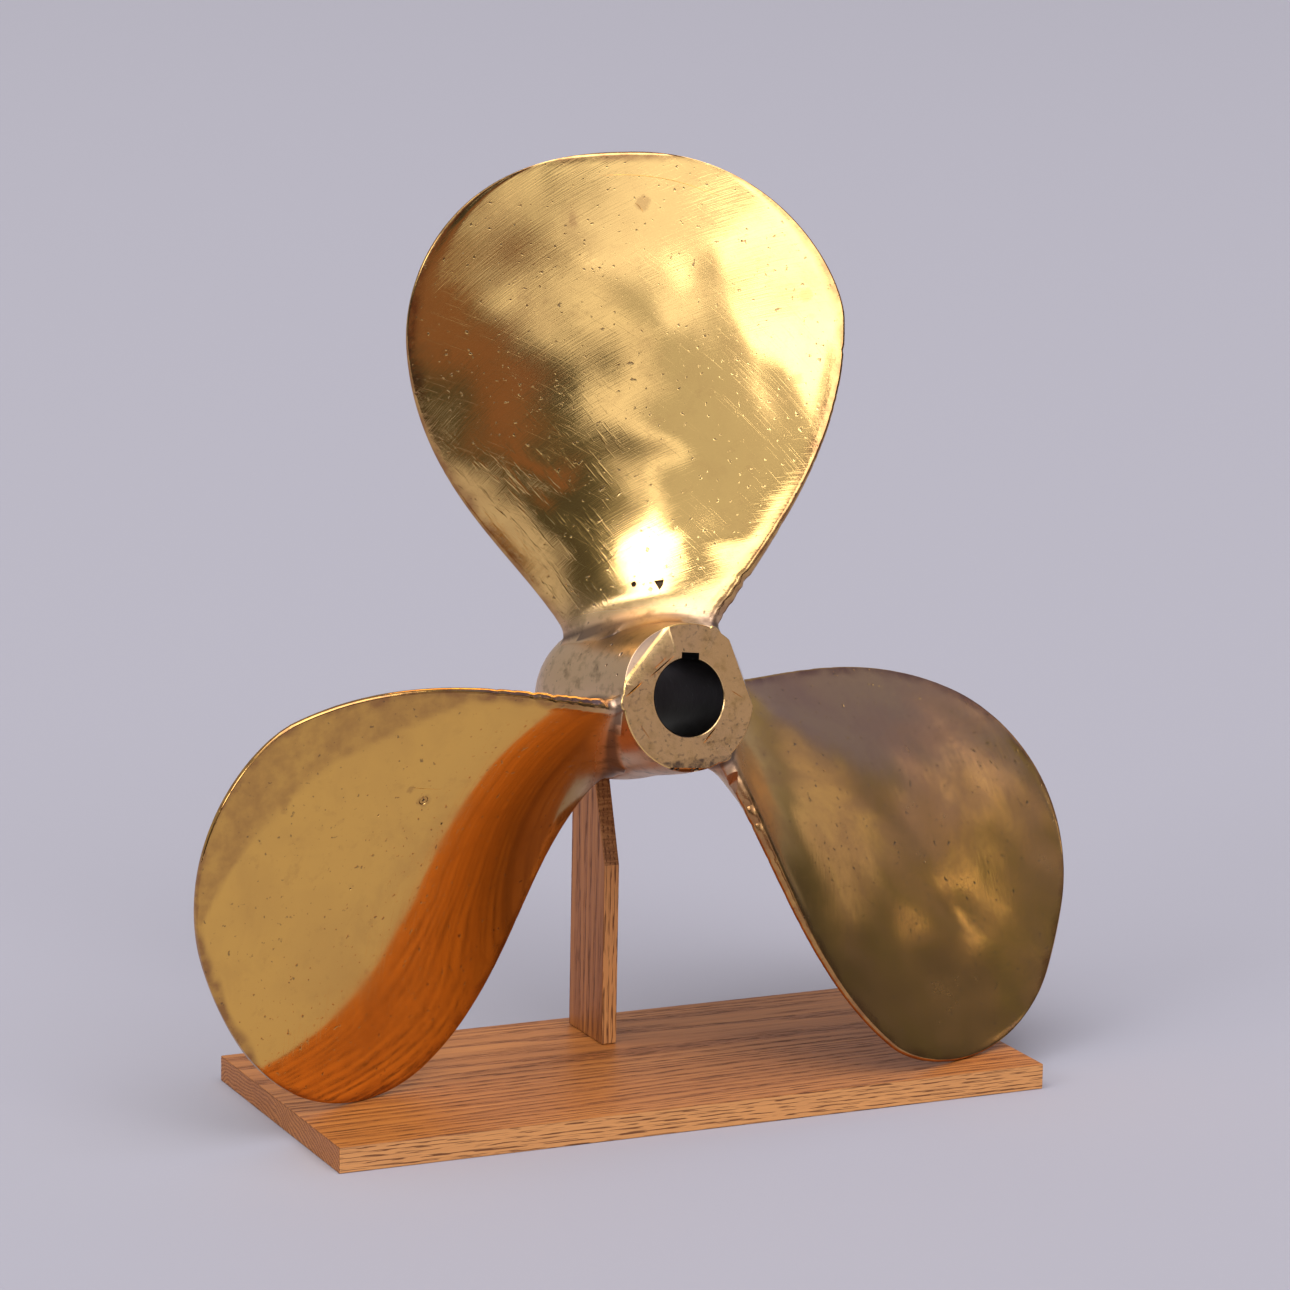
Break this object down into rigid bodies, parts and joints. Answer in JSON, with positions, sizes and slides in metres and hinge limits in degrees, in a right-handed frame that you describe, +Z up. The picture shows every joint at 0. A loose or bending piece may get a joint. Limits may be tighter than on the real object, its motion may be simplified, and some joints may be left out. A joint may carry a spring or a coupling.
{
  "type": "ship propeller on display stand",
  "caption": "Bronze fixed-pitch ship propeller, left-handed, with a bored and keyed hub, leaning on the sloped post of an oak stand.",
  "frame": {"origin": "centre of the board's underside", "axes": "+Z up, +X along the board to the viewer's right, -Y to the front, the side of the hub's small end"},
  "size_m": [0.7064, 0.231, 0.6533],
  "materials": {
    "bronze": "worn polished propeller bronze, darker on the hub",
    "board_oak": "oiled oak, grain along the board",
    "post_oak": "oiled oak, upright grain",
    "screw_steel": "plain steel, countersunk"
  },
  "bodies": {
    "root": {"propeller": "bronze", "base_board": "board_oak", "post": "post_oak", "post_screw_front": "screw_steel", "post_screw_rear": "screw_steel"}
  },
  "joints": []
}
